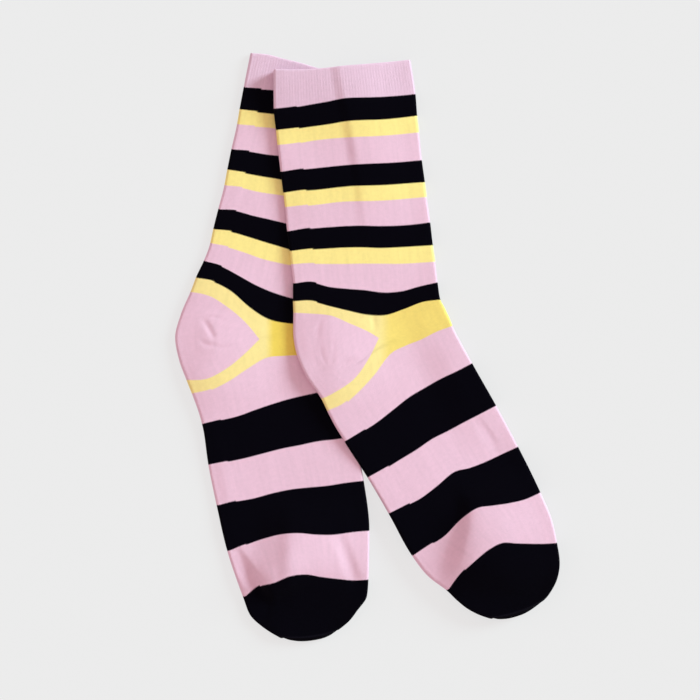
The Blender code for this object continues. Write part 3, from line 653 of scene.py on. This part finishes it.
def makeYarn(sock):
    lay = sock["lay"]
    material = bpy.data.materials.new(sock["name"] + "Yarn")
    material.use_nodes = True
    nodes = YarnNodes(material.node_tree)
    shader = material.node_tree.nodes["Principled BSDF"]
    shader.inputs["Roughness"].default_value = yarn["roughness"]
    shader.inputs["Specular IOR Level"].default_value = yarn["specular"]
    shader.inputs["Sheen Weight"].default_value = yarn["sheen"]
    shader.inputs["Sheen Roughness"].default_value = yarn["sheenRoughness"]

    stitches = nodes.add("ShaderNodeUVMap", uv_map="stitches").outputs["UV"]
    split = nodes.add("ShaderNodeSeparateXYZ")
    nodes.plug(split.inputs[0], stitches)
    wale, row = split.outputs["X"], split.outputs["Y"]
    course = nodes.add("ShaderNodeAttribute", attribute_name="course").outputs["Fac"]
    pocket = nodes.add("ShaderNodeAttribute", attribute_name="pocket").outputs["Fac"]

    # each stitch is a V, so a course dips in the middle of every column
    fromMiddle = nodes.math("ABSOLUTE", nodes.math("SUBTRACT", nodes.math("FRACT", wale), 0.5))
    lean = nodes.math("MULTIPLY", fromMiddle, 2.0 * yarn["stitchLean"])

    # the rounds climb as a spiral, and step by one course where they start
    column = nodes.math("SUBTRACT", nodes.math("FLOOR", wale), sock["jogWale"])
    climb = nodes.math("FRACT", nodes.math("DIVIDE", column, 2.0 * layerWales))
    striped = nodes.math("ADD", nodes.math("ADD", course, lean), climb)
    topClimb = 0.5      # courses from one fold to the other
    middle = 0.5 * (yarn["stitchLean"] + topClimb)
    whole = nodes.math("FLOOR", nodes.math("SUBTRACT", striped, middle))

    colour = yarnColours[sock["lines"][0].yarn]
    starts = {line.name: count for line, count in zip(sock["lines"], lay["courses"])}
    for before, line in zip(sock["lines"], sock["lines"][1:]):
        if line.yarn != before.yarn:
            begun = nodes.math("GREATER_THAN", whole, float(starts[line.name]) - 0.5)
            colour = nodes.mix(begun, colour, yarnColours[line.yarn])

    # deeper yellow where the heel band is widest
    inBand = nodes.between(whole, float(starts["heel band"]) - 0.5, float(starts["pink 4"]) - 0.5)
    deep = nodes.add("ShaderNodeAttribute", attribute_name="deep").outputs["Fac"]
    colour = nodes.mix(nodes.math("MULTIPLY", inBand, deep), colour, yarnColours["deepYellow"])

    # painted highlight: a lighter black along the toe seam, where the linked loops would catch a little light
    seamCourse = float(lay["courses"][-1]) - knit["toeSeamIn"] / knit["courseHeight"]
    fromSeam = nodes.math("ABSOLUTE", nodes.math("SUBTRACT", course, seamCourse))
    faded = nodes.math("DIVIDE", fromSeam, yarn["seamHighlightCourses"])
    seam = nodes.math("MAXIMUM", nodes.math("SUBTRACT", 1.0, faded), 0.0)
    colour = nodes.mix(seam, colour, yarnColours["toeSeamHighlight"])

    # the pink heel pocket
    teeth = nodes.math("MULTIPLY_ADD", lean, yarn["pocketTeeth"], -0.5 * yarn["pocketTeeth"])
    inPocket = nodes.math("GREATER_THAN", nodes.math("ADD", pocket, teeth), 0.0)
    colour = nodes.mix(inPocket, colour, yarnColours["pink"])

    # rounded legs of each stitch
    upLeg = nodes.math("FRACT", nodes.math("ADD", row, lean))
    acrossLeg = nodes.math("FRACT", nodes.math("MULTIPLY", wale, 2.0))
    rounds = []
    for part, power in zip((upLeg, acrossLeg), yarn["stitchRound"]):
        arch = nodes.math("SINE", nodes.math("MULTIPLY", part, math.pi))
        rounds.append(nodes.math("POWER", arch, power))
    stitch = nodes.math("MULTIPLY", *rounds)

    # shade in the gaps, uneven columns and a soft mottle
    lowShade = 1.0 - yarn["plainAt"] * yarn["stitchShade"]
    shade = nodes.math("MULTIPLY_ADD", stitch, yarn["stitchShade"], lowShade)
    columns = nodes.add("ShaderNodeCombineXYZ")
    nodes.plug(columns.inputs["X"], nodes.math("MULTIPLY", nodes.math("FLOOR", wale), yarn["streakStep"]))
    nodes.plug(columns.inputs["Y"], nodes.math("DIVIDE", row, yarn["streakLength"]))
    streaks = nodes.noise(columns.outputs[0], 1.0, yarn["streakDetail"])
    mottle = nodes.noise(stitches, yarn["mottleScale"], yarn["mottleDetail"])
    for noise, amount in ((streaks, yarn["streak"]), (mottle, yarn["mottle"])):
        wander = nodes.math("MULTIPLY_ADD", noise, 2.0 * amount, 1.0 - amount)
        shade = nodes.math("MULTIPLY", shade, wander)
    # painted shade on the folds, read from the fold attribute
    fold = nodes.add("ShaderNodeAttribute", attribute_name="fold").outputs["Fac"]
    shade = nodes.math("MULTIPLY", shade, nodes.math("SUBTRACT", 1.0, fold))
    tint = nodes.add("ShaderNodeVectorMath", operation="SCALE")
    nodes.plug(tint.inputs[0], colour)
    nodes.plug(tint.inputs["Scale"], shade)
    nodes.plug(shader.inputs["Base Color"], tint.outputs[0])

    bump = nodes.add("ShaderNodeBump")
    bump.inputs["Distance"].default_value = yarn["stitchBump"] * mm
    nodes.plug(bump.inputs["Height"], stitch)
    nodes.plug(shader.inputs["Normal"], bump.outputs["Normal"])
    return material


# how the upper sock comes down past the lower one's edge
drape = {
    "clearance": 0.3,
    "levelPast": 3.0,        # it stays level this far out
    "topWidth": 170.0,       # then its top layer comes down gently
    "lowWidth": 24.0,        # and its underside much sooner
}

underSock["lay"] = makeLay(underLines)
overSock["lay"] = makeLay(overLines)
underOutline = sockOutline(underSock["lay"])
underEdge = np.vstack((underOutline, underOutline[:1]))


def onFloor(points, turn):
    return np.zeros(len(points))


def onUnderSock(points, turn):
    past = np.where(isInside(points, underOutline), 0.0, distanceToPath(points, underEdge))
    past -= drape["levelPast"]
    top = ease(1.0 - past / drape["topWidth"])
    low = ease(1.0 - past / drape["lowWidth"])
    onTop = 0.5 + 0.5 * np.sin(turn)
    return (flatHeight + drape["clearance"]) * (low + (top - low) * onTop)


underSock["seat"] = onFloor
overSock["seat"] = onUnderSock

for sock in (underSock, overSock):
    sock["smoothCreases"] = [smoothCrease(crease) for crease in sock["creases"]]
    piece = buildSock(sock)
    piece.data.materials.append(makeYarn(sock))
    sock["piece"] = piece
    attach(piece, "root")
    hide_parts(sock["node"])
    length, courseCount = sock["lay"]["length"], sock["lay"]["courses"][-1]
    print(sock["name"], "runs", round(length, 1), "mm,", int(courseCount), "courses")


room = {
    "floorSize": 6.0,        # metres
    "floorDrop": 0.0002,     # metres, so that the floor and a sock never share a height
    "floorColour": (0.12, 0.12, 0.12),
    "floorGlow": 0.70,
    "keyAzimuth": 27.0,      # degrees from +X towards +Y
    "keyElevation": 20.0,
    "keySpread": 22.0,       # how soft the key light is, in degrees
    "keyStrength": 4.62,
    "keyColour": (0.696, 0.974, 1.0),
    "worldLight": 0.79,
    "worldColour": (1.0, 0.823, 0.806),      # a warm fill, so shaded cloth keeps its colour
}

view = {
    "frameWidth": 420.0,     # mm across the frame, at the cloth
    "middle": (-10.2, -2.4, 3.4),
    "distance": 2.6,         # metres
    "sensor": 36.0,
    "farthest": 20.0,        # metres
}

bpy.ops.mesh.primitive_plane_add(size=room["floorSize"], location=(0.0, 0.0, -room["floorDrop"]))
floor = bpy.context.object
floor.name = "floor"
floorPaint = bpy.data.materials.new("floorPaint")
floorPaint.use_nodes = True
floorShader = floorPaint.node_tree.nodes["Principled BSDF"]
floorShader.inputs["Base Color"].default_value = (*room["floorColour"], 1.0)
floorShader.inputs["Roughness"].default_value = 1.0
floorShader.inputs["Specular IOR Level"].default_value = 0.0
floorShader.inputs["Emission Color"].default_value = (1.0, 1.0, 1.0, 1.0)
floorShader.inputs["Emission Strength"].default_value = room["floorGlow"]
floor.data.materials.append(floorPaint)

key = bpy.data.lights.new("keyLight", "SUN")
key.energy = room["keyStrength"]
key.color = room["keyColour"]
key.angle = math.radians(room["keySpread"])
keyLamp = bpy.data.objects.new("keyLight", key)
bpy.context.scene.collection.objects.link(keyLamp)
azimuth, elevation = math.radians(room["keyAzimuth"]), math.radians(room["keyElevation"])
level = math.cos(elevation)
towardsKey = Vector((math.cos(azimuth) * level, math.sin(azimuth) * level, math.sin(elevation)))
keyLamp.rotation_euler = towardsKey.to_track_quat("Z", "Y").to_euler()

world = bpy.data.worlds.new("softRoom")
world.use_nodes = True
background = world.node_tree.nodes["Background"]
background.inputs["Color"].default_value = (*room["worldColour"], 1.0)
background.inputs["Strength"].default_value = room["worldLight"]
bpy.context.scene.world = world

cameraData = bpy.data.cameras.new("camera")
cameraData.sensor_width = view["sensor"]
cameraData.lens = view["sensor"] * view["distance"] / (view["frameWidth"] * mm)
cameraData.clip_end = view["farthest"]
camera = bpy.data.objects.new("camera", cameraData)
bpy.context.scene.collection.objects.link(camera)
camera.location = Vector(view["middle"]) * mm + Vector((0.0, 0.0, view["distance"]))
bpy.context.scene.camera = camera
bpy.context.scene.view_settings.view_transform = "Standard"
print("lights and camera set")

bpy.context.view_layer.update()
